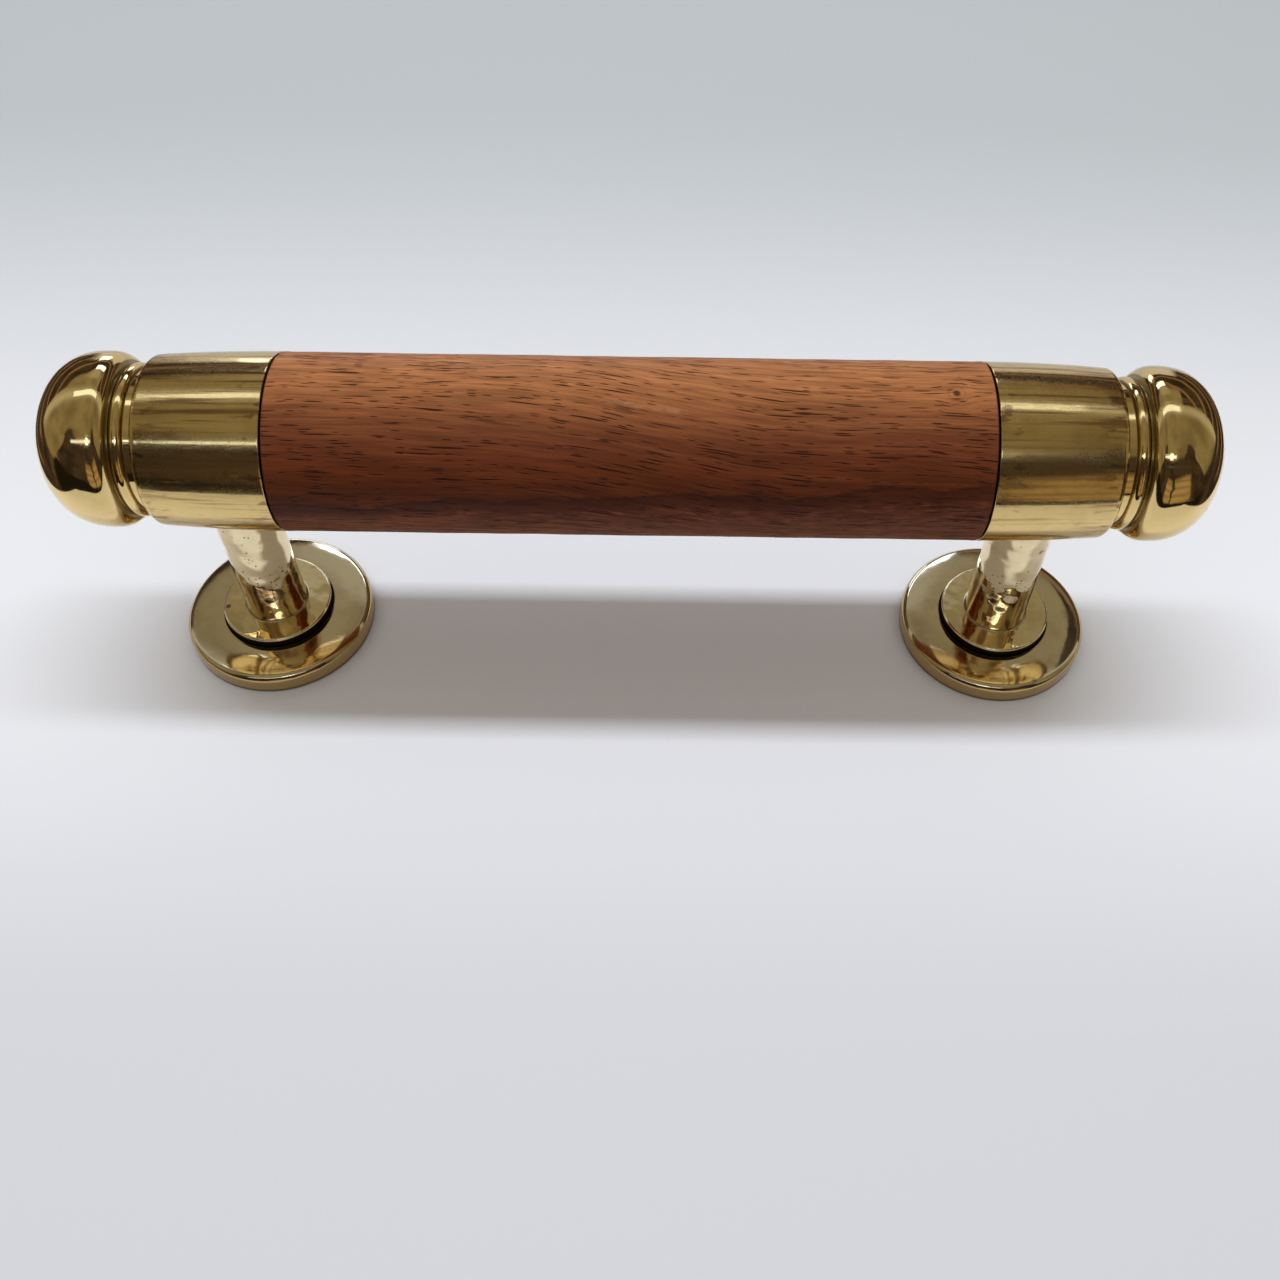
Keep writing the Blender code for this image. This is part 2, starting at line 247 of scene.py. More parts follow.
def make_floor():
    """A flat shape just under the roses, wider at the back."""
    right_edge = [
        (FLOOR_HALF_WIDTH, FLOOR_FRONT, -FLOOR_GAP),
        (FLOOR_HALF_WIDTH, FLOOR_MIDDLE, -FLOOR_GAP),
        (FLOOR_BACK_HALF_WIDTH, FLOOR_BACK, -FLOOR_GAP),
    ]
    corners = right_edge + [(-x, y, z) for x, y, z in reversed(right_edge)]
    mesh = bpy.data.meshes.new("floor")
    mesh.from_pydata(corners, [], [range(len(corners))])
    floor = add_object("floor", mesh)
    material, tree, shader = new_material("pale_floor")
    path = node("ShaderNodeLightPath", {}, tree).outputs
    seen = largest(path["Is Camera Ray"], path["Is Glossy Ray"], path["Is Transmission Ray"])
    y = split(object_place(tree))[1]
    # Painted pool of light: the floor's colour is brightest round the rail and darker towards the back and
    # the front.
    pale = lay(FLOOR_LIT_COLOUR, FLOOR_BACK_SHADED_COLOUR, ramp(y, *FAR_SHADE))
    pale = lay(pale, FLOOR_FRONT_SHADED_COLOUR, ramp(y, *NEAR_SHADE))
    colour = lay(FLOOR_BOUNCE_COLOUR, pale, seen)
    fill(shader, {"Base Color": colour, "Roughness": FLOOR_ROUGHNESS, "Specular IOR Level": FLOOR_SHEEN})
    mesh.materials.append(material)


make_floor()
print("floor: from", FLOOR_FRONT, "to", FLOOR_BACK)

# %% [markdown]
# Two soft lamps light the rail: a long strip a little behind it overhead, which throws the shadow, and a
# wide panel that fills it. Polished metal would show lamps of that strength as white bars, so they are
# hidden from reflections, and five weaker strips, seen only in reflections, draw the bright lines and
# sparks on the brass. Each lamp is set by its angle from straight up, towards the camera.

# %% Lamps
LAMP_DISTANCE = 1.2
KEY_LAMPS = {
    "key_strip": {"angle": -10.0, "across": -0.05, "length": 1.35, "width": 0.12, "power": 10.3},
    "fill_panel": {"angle": 0.0, "across": 0.0, "length": 2.6, "width": 2.6, "power": 10.8},
}
LAMP_COLOURS = {"key_strip": (0.98, 1.0, 1.02), "fill_panel": (1.0, 0.93, 0.91)}
GLINT_COLOUR = (0.78, 0.92, 1.20)
GLINT_LAMPS = {
    "overhead_glint": {"angle": -15.5, "across": -0.10, "length": 1.35, "width": 0.17, "power": 0.75},
    "front_glint": {"angle": 47.0, "across": -0.22, "length": 1.14, "width": 0.075, "power": 0.42},
    "middle_glint": {"angle": 47.0, "across": 0.0, "length": 0.24, "width": 0.15, "power": 0.45},
    "rear_glint": {"angle": -56.0, "across": -0.05, "length": 0.60, "width": 0.17, "power": 0.9},
    "low_glint": {"angle": -79.0, "across": -0.30, "length": 0.40, "width": 0.22, "power": 0.7},
}


def make_lamp(name, angle, across, length, width, power):
    """A rectangular lamp, aimed at the middle of the rail."""
    light = bpy.data.lights.new(name, "AREA")
    light.shape = "RECTANGLE"
    light.size = length
    light.size_y = width
    light.energy = power
    lamp = add_object(name, light)
    turn = np.radians(angle)
    reach = Vector((0.0, -np.sin(turn), np.cos(turn))) * LAMP_DISTANCE
    lamp.location = Vector((across, 0.0, RAIL_HEIGHT)) + reach
    lamp.rotation_euler = (turn, 0.0, 0.0)
    lamp.visible_camera = False
    return lamp


for name, facts in KEY_LAMPS.items():
    soft = make_lamp(name, **facts)
    soft.visible_glossy = False
    soft.data.color = LAMP_COLOURS[name]
for name, facts in GLINT_LAMPS.items():
    glint = make_lamp(name, **facts)
    glint.visible_diffuse = False
    glint.data.color = GLINT_COLOUR
print("lamps:", ", ".join((*KEY_LAMPS, *GLINT_LAMPS)))

# %% [markdown]
# The world is the room that the brass mirrors, painted by the direction that a ray leaves in: x to the
# right, y to the back and z up, each from -1 to 1. Its ceiling is dull and warm, glows over the rail and
# comes lower at the sides. Its walls are dark, with cabinets, a lit wall of boards behind the camera and
# a pale wall behind the rail. Each pair of numbers is a soft edge, from the first to the second. Seen
# directly, the room is only a pale backdrop.

# %% World
CEILING_COLOUR = (0.175, 0.146, 0.090)
CEILING_LIGHT_COLOUR = (0.27, 0.232, 0.150)
CEILING_GLOW_COLOUR = (0.46, 0.45, 0.40)
WALL_COLOUR = (0.058, 0.042, 0.033)
BACK_WALL_COLOUR = (0.62, 0.60, 0.62)
LIT_WALL_COLOUR = (0.38, 0.28, 0.16)
SHELF_COLOUR = (0.24, 0.15, 0.09)
BLACK = (0.012, 0.010, 0.008)
BACKDROP_COLOUR = (0.80, 0.82, 0.86)
UNEVENNESS = 0.25
FRONT_HALF, BACK_HALF = (-0.45, -0.20), (0.2, 0.4)
LIT_LEFT, LIT_RIGHT, LIT_TOP, LIT_FAR_LEFT = (-0.22, -0.14), (0.58, 0.66), (0.16, 0.30), (-0.93, -0.80)
DARK_POST, DARK_POST_HALF_WIDTH = 0.24, (0.02, 0.06)
SHELF_BACK = (0.0, 0.3)
LOW_STRIP_TOP, LOW_STRIP_SLOPE = (-0.33, -0.29), 0.45
BACK_WALL_TOP, BACK_WALL_HALF_WIDTH = (0.17, 0.22), (0.36, 0.44)
WALL_TOP = (0.57, 0.66)
SIDE_RISE, SIDE_WIDE, SIDE_FRONT, SIDE_BACK = 0.60, (0.50, 0.85), (-0.70, -0.40), (0.25, 0.45)
CABINET_RISE, CABINET_PLACE, CABINET_HALF_WIDTH, CABINET_BACK = 0.16, 0.55, (0.10, 0.14), (-0.5, -0.3)
CORNER_RISE, CORNER_LEFT, CORNER_FRONT = 0.35, (0.385, 0.44), (0.25, 0.45)
GLOW_FRONT, GLOW_BACK = (0.0, 0.24), (0.24, 0.55)
FAR_GLOW_PLACE, FAR_GLOW_HALF_WIDTH, FAR_GLOW_FRONT, FAR_GLOW_AMOUNT = -0.08, (0.16, 0.36), (0.57, 0.63), 0.6


def level_bands(direction, scale, distortion, detail):
    """Level wavy bands."""
    inputs = {"Vector": direction, "Scale": scale, "Distortion": distortion, "Detail": detail}
    return node("ShaderNodeTexWave", inputs, bands_direction="Z").outputs["Fac"]


def make_walls(direction, clutter, jitter):
    """Walls: a lit one and a black strip over the floor in front, shelves and a pale one behind."""
    x, y, z = split(direction)
    rough_x, rough_z = calc("ADD", x, jitter), calc("ADD", z, jitter)
    in_front = fade(y, *FRONT_HALF)
    walls = lay(WALL_COLOUR, BLACK, ramp(clutter, 0.40, 0.62, 0.0, 0.6))
    lit = product(ramp(rough_x, *LIT_LEFT), fade(rough_x, *LIT_RIGHT))
    lit = largest(lit, fade(x, *LIT_FAR_LEFT))
    beside_post = ramp(off(rough_x, DARK_POST), *DARK_POST_HALF_WIDTH)
    boards = ramp(level_bands(direction, 1.9, 4.0, 3.0), 0.15, 0.45, 0.65, 1.0)
    lit = product(lit, beside_post, fade(rough_z, *LIT_TOP), in_front, boards)
    walls = lay(walls, LIT_WALL_COLOUR, lit)
    shelves = ramp(level_bands(direction, 1.3, 5.0, 2.0), 0.80, 0.92)
    walls = lay(walls, SHELF_COLOUR, shelves, ramp(y, *SHELF_BACK))
    rise = plus(z, jitter, 0.3)
    rise = plus(rise, calc("MINIMUM", x, 0.0), LOW_STRIP_SLOPE)
    walls = lay(walls, BLACK, in_front, fade(rise, *LOW_STRIP_TOP))
    pale = fade(plus(z, jitter, 0.4), *BACK_WALL_TOP)
    across = fade(off(x), *BACK_WALL_HALF_WIDTH)
    return lay(walls, BACK_WALL_COLOUR, pale, ramp(y, *BACK_HALF), across)


def make_ceiling(direction):
    """Colour of the ceiling: patchy, with one glow over the rail and another further back."""
    x, y, _ = split(direction)
    patchy = ramp(noise(direction, 2.3), 0.35, 0.65)
    ceiling = lay(CEILING_COLOUR, CEILING_LIGHT_COLOUR, patchy)
    glow = product(ramp(y, *GLOW_FRONT), fade(y, *GLOW_BACK))
    ceiling = lay(ceiling, CEILING_GLOW_COLOUR, calc("POWER", glow, 2.0))
    far_glow = fade(off(x, FAR_GLOW_PLACE), *FAR_GLOW_HALF_WIDTH, FAR_GLOW_AMOUNT)
    return lay(ceiling, CEILING_GLOW_COLOUR, far_glow, ramp(y, *FAR_GLOW_FRONT))


def height_in_room(direction, jitter):
    """Height, more where the ceiling comes lower and less where a cabinet or a corner stands up."""
    x, y, z = split(direction)
    side = product(ramp(off(x), *SIDE_WIDE), ramp(y, *SIDE_FRONT), fade(y, *SIDE_BACK))
    height = plus(plus(z, jitter, 0.5), side, SIDE_RISE)
    aside = off(calc("ADD", x, jitter))
    cabinet = fade(off(aside, CABINET_PLACE), *CABINET_HALF_WIDTH, CABINET_RISE)
    height = minus(height, product(cabinet, fade(y, *CABINET_BACK)))
    corner = product(ramp(x, *CORNER_LEFT), ramp(y, *CORNER_FRONT))
    return plus(height, corner, -CORNER_RISE)


def make_world():
    """Walls below and ceiling above, with edges that jitter, and a pale backdrop for the camera alone."""
    world = bpy.data.worlds.new("room")
    world.use_nodes = True
    tree = world.node_tree
    direction = node("ShaderNodeTexCoord", {}, tree).outputs["Generated"]
    clutter = noise(direction, 4.0, 3.0)
    jitter = product(minus(clutter, 0.5), UNEVENNESS)
    walls = make_walls(direction, clutter, jitter)
    over_walls = ramp(height_in_room(direction, jitter), *WALL_TOP)
    room = lay(walls, make_ceiling(direction), over_walls)
    seen = node("ShaderNodeLightPath", {}, tree).outputs["Is Camera Ray"]
    fill(tree.nodes["Background"], {"Color": lay(room, BACKDROP_COLOUR, seen)})
    scene.world = world


make_world()
print("world: ceiling", CEILING_COLOUR)

# %% [markdown]
# Every piece here was turned on a lathe, so each is a profile carried round an axis: a surface of two
# parameters, the place along the profile and the angle. These helpers join points and arcs to profiles,
# and carry them round the rail or a post as one array of points.

# %% Profiles and turned surfaces
ROUND_STEPS = 256
SAME_POINT = 1e-9


def arc(centre, radii, start, end, count, fullness=2.0):
    """Points at centre + radii * (cos, sin) of an angle in degrees; fullness above 2 squares the curve."""
    angle = np.radians(np.linspace(start, end, count + 1))
    round_part = np.stack((np.cos(angle), np.sin(angle)), axis=1)
    bent = np.sign(round_part) * np.abs(round_part) ** (2 / fullness)
    return np.asarray(centre) + np.asarray(radii) * bent


def profile(*lengths):
    """Lengths of (along, radius) points in one array, with repeated points left out."""
    points = np.concatenate([np.atleast_2d(length) for length in lengths])
    fresh = np.linalg.norm(np.diff(points, axis=0), axis=1) > SAME_POINT
    return points[np.concatenate(([True], fresh))]


def angles():
    """Even angles once round, without the last, which is the first again."""
    return np.linspace(0.0, 2 * np.pi, ROUND_STEPS, endpoint=False)


def turned_on_rail(points, side=1.0, swell=0.0):
    """Carry a profile round the rail's axis: x = along, y = r sin a, z = height + r cos a. The left end,
    side -1, is the right one turned half round. swell is added to the radius and may change over it."""
    angle = angles()
    along = np.broadcast_to(points[:, :1], (len(points), len(angle)))
    radius = points[:, 1:] + swell
    y = radius * np.sin(angle)
    z = RAIL_HEIGHT + radius * np.cos(angle)
    return np.stack((side * along, side * y, z), axis=-1)


def turned_on_post(points, side=1.0):
    """Carry a profile of (height, radius) round the axis of a post."""
    angle = angles()
    x = side * (POST_PLACE + points[:, 1:] * np.cos(angle))
    y = side * points[:, 1:] * np.sin(angle)
    z = np.broadcast_to(points[:, :1], x.shape)
    return np.stack((x, y, z), axis=-1)


def ripple(along, angle, pitch, depth):
    """Slight unevenness of hand work: depth times a sum of slow waves along the piece and round it."""
    step = 2 * np.pi * along / pitch
    waves = np.sin(step + 2 * np.sin(2 * angle + 0.7)) * np.cos(3 * angle + 0.4 * step)
    waves = waves + 0.6 * np.sin(0.47 * step + 1.9) * np.sin(5 * angle + 1.1)
    return depth * (waves + 0.4 * np.sin(1.73 * step + 7 * angle))


print("steps round each turned surface:", ROUND_STEPS)

# %% [markdown]
# The array of points then becomes a mesh without a loop over its vertices. Where a row of points has shrunk
# to one, as at the tip of a finial, the quads round it become triangles.

# %% From points to pieces
SHARP_ANGLE = np.radians(32)


def grid_faces(grid, loop):
    """Points, quads and triangles of a grid (rows, round, 3): each row closes on itself, a row of one
    repeated point is a pole, and with loop the last row joins the first."""
    rows, around = grid.shape[:2]
    index = np.arange(rows * around).reshape(rows, around)
    poles = np.ptp(grid, axis=1).max(axis=1) < SAME_POINT
    index[poles] = index[poles, :1]
    used, index = np.unique(index, return_inverse=True)
    index = index.reshape(rows, around)
    lower = index if loop else index[:-1]
    upper = np.roll(index, -1, axis=0) if loop else index[1:]
    quads = np.stack((lower, np.roll(lower, -1, axis=1), np.roll(upper, -1, axis=1), upper), axis=-1)
    quads = quads.reshape(-1, 4)
    first_pole = quads[:, 0] == quads[:, 1]
    last_pole = quads[:, 2] == quads[:, 3]
    triangles = np.concatenate((quads[first_pole][:, 1:], quads[last_pole][:, :3]))
    return grid.reshape(-1, 3)[used], quads[~(first_pole | last_pole)], triangles


def skin(name, grid, loop):
    """A smooth mesh over a grid of points, with its faces turned so that the volume is positive."""
    points, quads, triangles = grid_faces(grid, loop)
    halves = np.concatenate((quads[:, :3], quads[:, (0, 2, 3)], triangles))
    a, b, c = (points[halves[:, k]] for k in range(3))
    if np.einsum("ij,ij->i", a, np.cross(b, c)).sum() < 0:
        quads, triangles = quads[:, ::-1], triangles[:, ::-1]
    mesh = bpy.data.meshes.new(name)
    mesh.vertices.add(len(points))
    mesh.vertices.foreach_set("co", points.astype(np.float32).ravel())
    corners = np.concatenate((quads.ravel(), triangles.ravel())).astype(np.int32)
    starts = np.concatenate((np.arange(len(quads)) * 4, 4 * len(quads) + np.arange(len(triangles)) * 3))
    mesh.loops.add(len(corners))
    mesh.loops.foreach_set("vertex_index", corners)
    mesh.polygons.add(len(starts))
    mesh.polygons.foreach_set("loop_start", starts.astype(np.int32))
    mesh.update(calc_edges=True)
    mesh.validate()
    mesh.shade_smooth()
    mesh.set_sharp_from_angle(angle=SHARP_ANGLE)
    return mesh


def show(name, grid, material, node_name, loop=False):
    """Put a skin over a grid in the scene in place of a frame node, riding on the rail."""
    mesh = skin(name, grid, loop)
    mesh.materials.append(material)
    piece = add_object(name, mesh)
    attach(piece, "root")
    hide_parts(node_name)
    size = 1000 * np.array(piece.dimensions)
    print(f"{name}: {len(mesh.polygons)} faces, {size[0]:.1f} x {size[1]:.1f} x {size[2]:.1f} mm")

# %% [markdown]
# All the metal shares a few marks of use, so one node group holds them: blotches of tarnish, sparse pits
# and fine scratches. A group puts out masks only, and each finish decides what to do with them. Pits are the
# middles of random cells, and the same trick draws the pores of the wood further on.

# %% Shared marks of use
BLOTCH_SCALE, PIT_SCALE = 120.0, 260.0
SCRATCH_SCALE = (36.0, 900.0, 900.0)
SCRATCH_TURNS = ((0.3, 0.5, 0.2), (1.2, -0.4, 0.9), (-0.7, 1.1, 2.0))


def new_group(name, numbers, vectors=()):
    """An empty node group with a vector input, number outputs and vector outputs."""
    tree = bpy.data.node_groups.new(name, "ShaderNodeTree")
    tree.interface.new_socket("Vector", in_out="INPUT", socket_type="NodeSocketVector")
    for kind, keys in (("NodeSocketFloat", numbers), ("NodeSocketVector", vectors)):
        for key in keys:
            tree.interface.new_socket(key, in_out="OUTPUT", socket_type=kind)
    place = tree.nodes.new("NodeGroupInput").outputs["Vector"]
    return tree, place, tree.nodes.new("NodeGroupOutput")


def use_group(group, place):
    """The outputs of a node group at a place."""
    return node("ShaderNodeGroup", {"Vector": place}, node_tree=group).outputs


def cell_spots(place, scale, share, size):
    """Middles of random cells: share says which cells are kept, size how far out each spot fades."""
    cells = node("ShaderNodeTexVoronoi", {"Vector": place, "Scale": scale}).outputs
    kept = ramp(split(cells["Color"])[0], *share)
    return product(kept, fade(cells["Distance"], *size))


def make_wear_group():
    """Tarnish: soft blotches of noise. Scratches: three sets of drawn-out noise, kept where they peak."""
    tree, place, out = new_group("wear", ("Tarnish", "Pits", "Scratches"))
    tarnish = ramp(noise(place, BLOTCH_SCALE, detail=5.0, roughness=0.62), 0.42, 0.74)
    pits = cell_spots(place, PIT_SCALE, (0.86, 0.90), (0.10, 0.24))
    lines = [noise(place, SCRATCH_SCALE, detail=1.0, turn=turn) for turn in SCRATCH_TURNS]
    scratches = largest(*(ramp(line, 0.70, 0.76) for line in lines))
    fill(out, {"Tarnish": tarnish, "Pits": pits, "Scratches": scratches})
    return tree


wear_group = make_wear_group()
print("wear group:", [item.name for item in wear_group.interface.items_tree])

# %% [markdown]
# Hardwood like this has open pores: short dark dashes that follow the grain. The dashes are cells drawn
# out along the rail and kept only near their middles, in three lengths. The grain leans more and more
# towards the right and slow noise bends it, so that the dashes drift, and it swirls round one small knot.

# %% Grain and pores
GRAIN_RISE, GRAIN_LEAN, GRAIN_DRIFT = 0.0085, 0.025, 0.0042
RISE_START, RISE_END = -0.35, 0.55
KNOT_PLACE, KNOT_RADIUS = (0.0655, -0.0021, 0.0820), 0.0014
KNOT_SWIRL, KNOT_RING = -0.6, 0.25
PORE_LAYERS = (
    {"length": 0.0180, "width": 0.00072, "share": 0.25},
    {"length": 0.0090, "width": 0.00058, "share": 0.22},
    {"length": 0.0045, "width": 0.00048, "share": 0.35},
)
PORE_SIZE = (0.154, 0.28)


def vector_calc(operation, *values):
    """One step of arithmetic on vectors."""
    return node("ShaderNodeVectorMath", dict(enumerate(values)), operation=operation).outputs


def make_grain_group():
    """Grain: the place turned about the rail by (lean * along + an eased rise + noise) / radius, so that it
    leans but stays on the surface, then swirled at the knot. Knot: a dark middle with a faint ring."""
    tree, place, out = new_group("grain", ("Knot",), ("Grain",))
    along = split(place)[0]
    rise = ramp(along, RISE_START * GRIP_SHOULDER, RISE_END * GRIP_SHOULDER)
    rise = calc("SMOOTH_MIN", rise, 1.0, 0.5)
    lean = plus(product(rise, GRAIN_RISE), along, GRAIN_LEAN)
    drift = minus(noise(place, (24.0, 60.0, 60.0)), 0.5)
    lean = plus(lean, drift, GRAIN_DRIFT)
    angle = product(lean, -1 / GRIP_RADIUS)
    turn = {"Vector": place, "Center": (0.0, 0.0, RAIL_HEIGHT), "Angle": angle}
    bent = node("ShaderNodeVectorRotate", turn, rotation_type="X_AXIS").outputs[0]
    to_knot = vector_calc("SUBTRACT", place, KNOT_PLACE)[0]
    from_knot = vector_calc("LENGTH", to_knot)["Value"]
    swirl = ramp(from_knot, 0.0, 4 * KNOT_RADIUS, KNOT_SWIRL, 0.0)
    swirl = node("ShaderNodeCombineXYZ", {"Y": swirl, "Z": swirl}).outputs[0]
    grain = vector_calc("MULTIPLY_ADD", to_knot, swirl, bent)[0]
    ring = fade(off(from_knot, 1.25 * KNOT_RADIUS), 0.0, 0.25 * KNOT_RADIUS, KNOT_RING)
    middle = fade(from_knot, 0.3 * KNOT_RADIUS, 0.75 * KNOT_RADIUS)
    fill(out, {"Grain": grain, "Knot": largest(ring, middle)})
    return tree


def make_pore_group():
    """Dashes: spots in three patterns of cells, drawn out from long to short."""
    tree, place, out = new_group("pores", ("Pores",))
    layers = []
    for layer in PORE_LAYERS:
        across = 1 / layer["width"]
        drawn = stretch(place, (1 / layer["length"], across, across))
        share = (layer["share"], layer["share"] + 0.2)
        layers.append(cell_spots(drawn, 1.0, share, PORE_SIZE))
    fill(out, {"Pores": largest(*layers)})
    return tree


grain_group = make_grain_group()
pore_group = make_pore_group()
print("grain and pore nodes:", len(grain_group.nodes), len(pore_group.nodes))

# %% [markdown]
# The grip's colour holds painted light: it is paler towards the upper back, which faces the lamps, and a
# little paler underneath, as painted bounce from the floor. Low on the front the paler wood gives way to
# darker heartwood along a wavy line, with pale flecks under it. A chalky scuff and a dark seam at each end
# finish it. Each mark is laid over the colour by a mask and an amount.

# %% Oiled hardwood
WOOD_PALE_AND_LIT = (0.427, 0.175, 0.062)
WOOD_DARK_AND_SHADED = (0.161, 0.040, 0.013)
HEARTWOOD = (0.078, 0.020, 0.010)
PORE_COLOUR = (0.034, 0.010, 0.004)
FLECK_COLOUR = (0.300, 0.090, 0.046)
SCUFF_COLOUR = (0.385, 0.244, 0.163)
PAINTED_LIGHT_ANGLE = np.radians(-25.0)
HEARTWOOD_RISE, HEARTWOOD_WAVE, HEARTWOOD_SLOPE = 0.0042, 0.010, -0.045
HEARTWOOD_FRONT = (-0.012, -0.008)
SCUFF_PLACE = (0.0025, -0.0058)
SCUFF_LENGTH, SCUFF_WIDTH, SCUFF_SLOPE = 0.0100, 0.0008, 0.139
WOOD_ROUGHNESS, FIBRE_ROUGHNESS, PORE_ROUGHNESS, WOOD_SHEEN = 0.46, 0.10, 0.2, 0.15


def wood_tone_and_painted_light(place, grain):
    """Clear wood with painted light: paler towards the upper back and a little paler underneath, in uneven
    bands.
    """
    _, y, z = split(place)
    height = minus(z, RAIL_HEIGHT)
    upward = product(height, np.cos(PAINTED_LIGHT_ANGLE) / GRIP_RADIUS)
    facing = minus(upward, product(y, np.sin(PAINTED_LIGHT_ANGLE) / GRIP_RADIUS))
    # Painted light: paler where the surface faces up and back towards the lamps, and a little paler
    # underneath as painted bounce.
    painted_top_light = calc("POWER", ramp(facing, -0.1, 1.1), 2.6)
    underneath = fade(height, -0.50 * GRIP_RADIUS, 0.05 * GRIP_RADIUS, 0.42)
    bands = minus(noise(grain, (9.0, 300.0, 300.0), 4.0), 0.5)
    tone = calc("ADD", calc("ADD", painted_top_light, underneath), product(bands, 0.55))
    tone = node("ShaderNodeClamp", {"Value": tone}).outputs[0]
    return lay(WOOD_DARK_AND_SHADED, WOOD_PALE_AND_LIT, tone)


def add_heartwood(place, grain, colour):
    """Heartwood under a wavy line on the front, darkest at the line. Heights are measured from the line."""
    x, y, z = split(place)
    wave = minus(noise(place, (45.0, 0.0, 0.0), 5.0), 0.5)
    height = minus(z, RAIL_HEIGHT + HEARTWOOD_RISE)
    height = plus(height, wave, HEARTWOOD_WAVE)
    height = plus(height, x, HEARTWOOD_SLOPE)
    in_front = fade(y, *HEARTWOOD_FRONT)
    heart = product(in_front, fade(height, -6 * TENTH, 6 * TENTH), ramp(height, -55 * TENTH, -8 * TENTH))
    colour = lay(colour, HEARTWOOD, heart, 0.72)
    colour = lay(colour, PORE_COLOUR, ramp(height, -7 * TENTH, 0.0), heart, 0.8)
    flecks = ramp(noise(grain, (260.0, 1300.0, 1300.0), 3.0), 0.48, 0.62)
    return lay(colour, FLECK_COLOUR, flecks, in_front, fade(height, -45 * TENTH, -25 * TENTH), 0.75)


def scuff_mask(place):
    """A short chalky scrape on top of the grip, a little aslant."""
    x, y, z = split(place)
    across = plus(minus(y, SCUFF_PLACE[1]), x, SCUFF_SLOPE)
    narrow = fade(off(across), 0.0, SCUFF_WIDTH)
    short = fade(off(x, SCUFF_PLACE[0]), 0.7 * SCUFF_LENGTH, SCUFF_LENGTH)
    chalky = ramp(noise(place, (500.0, 2500.0, 2500.0), 3.0), 0.40, 0.62)
    on_top = ramp(z, RAIL_HEIGHT, RAIL_HEIGHT + 20 * TENTH)
    return product(narrow, short, chalky, on_top)


def make_hardwood():
    """Tone with painted light, heartwood and mottle, then the marks in turn, and relief from fibres, pores
    and the lathe.
    """
    material, tree, shader = new_material("oiled_hardwood")
    place = object_place(tree)
    bent = use_group(grain_group, place)
    grain, knot = bent["Grain"], bent["Knot"]
    colour = add_heartwood(place, grain, wood_tone_and_painted_light(place, grain))
    mottle = ramp(noise(grain, (50.0, 800.0, 800.0), 3.0), 0.3, 0.7, 0.78, 1.18)
    colour = lay(colour, mottle, 1.0, mode="MULTIPLY")
    fibres = ramp(noise(grain, (90.0, 2000.0, 2000.0), 3.0), 0.38, 0.62)
    crowd = ramp(noise(grain, (30.0, 160.0, 160.0)), 0.24, 0.42)
    pores = product(use_group(pore_group, grain)["Pores"], crowd)
    scuff = scuff_mask(place)
    seam = ramp(off(split(place)[0]), GRIP_SHOULDER - 4 * TENTH, GRIP_SHOULDER)
    marks = (
        (fibres, 0.30, HEARTWOOD),
        (pores, 0.95, PORE_COLOUR),
        (knot, 0.85, PORE_COLOUR),
        (scuff, 0.45, SCUFF_COLOUR),
        (seam, 0.85, PORE_COLOUR),
    )
    for mask, amount, mark_colour in marks:
        colour = lay(colour, mark_colour, mask, amount)
    rough = plus(WOOD_ROUGHNESS, fibres, FIBRE_ROUGHNESS)
    rough = plus(rough, pores, PORE_ROUGHNESS)
    relief = minus(product(fibres, 0.15), pores)
    relief = plus(relief, noise(place, (1500.0, 40.0, 40.0)), 0.2)
    bump = node("ShaderNodeBump", {"Height": relief, "Strength": 0.6, "Distance": 2 * TENTH}).outputs[0]
    looks = {"Base Color": colour, "Roughness": rough, "Specular IOR Level": WOOD_SHEEN, "Normal": bump}
    fill(shader, looks)
    return material


hardwood = make_hardwood()
print("hardwood nodes:", len(hardwood.node_tree.nodes))

# %% [markdown]
# The grip is a straight barrel with a softly rounded edge at each end. Behind the edge it steps down to a
# tenon, which the brass socket hides, and a bore for the tie rod runs right through, so the profile
# closes on itself.

# %% Grip
GRIP_EDGE = 4 * TENTH
TENON_CHAMFER = 6 * TENTH
FERRULE_WALL = 27 * TENTH
TENON_RADIUS = GRIP_RADIUS - FERRULE_WALL - FIT
GRIP_UNEVENNESS, GRIP_WAVE = 0.3 * TENTH, 0.021


def make_grip():
    """Half a profile and its mirror image; only the barrel is uneven, and never outside its radius."""
    edge = (GRIP_SHOULDER - GRIP_EDGE, GRIP_RADIUS - GRIP_EDGE)
    half = profile(
        np.linspace((0.0, GRIP_RADIUS), (edge[0], GRIP_RADIUS), 49),
        arc(edge, (GRIP_EDGE, GRIP_EDGE), 90, 0, count=8),
        (GRIP_SHOULDER, TENON_RADIUS),
        (TENON_END - TENON_CHAMFER, TENON_RADIUS),
        (TENON_END, TENON_RADIUS - TENON_CHAMFER),
        (TENON_END, ROD_HOLE),
    )
    points = np.concatenate((half[::-1] * (-1, 1), half[1:]))
    along = points[:, :1]
    on_barrel = np.clip((GRIP_SHOULDER - 2 * GRIP_EDGE - np.abs(along)) / GRIP_EDGE, 0, 1)
    swell = on_barrel * (ripple(along, angles(), GRIP_WAVE, GRIP_UNEVENNESS) - 2.4 * GRIP_UNEVENNESS)
    grid = turned_on_rail(points, swell=swell)
    show("grip", grid, hardwood, "wood_grip", loop=True)


make_grip()
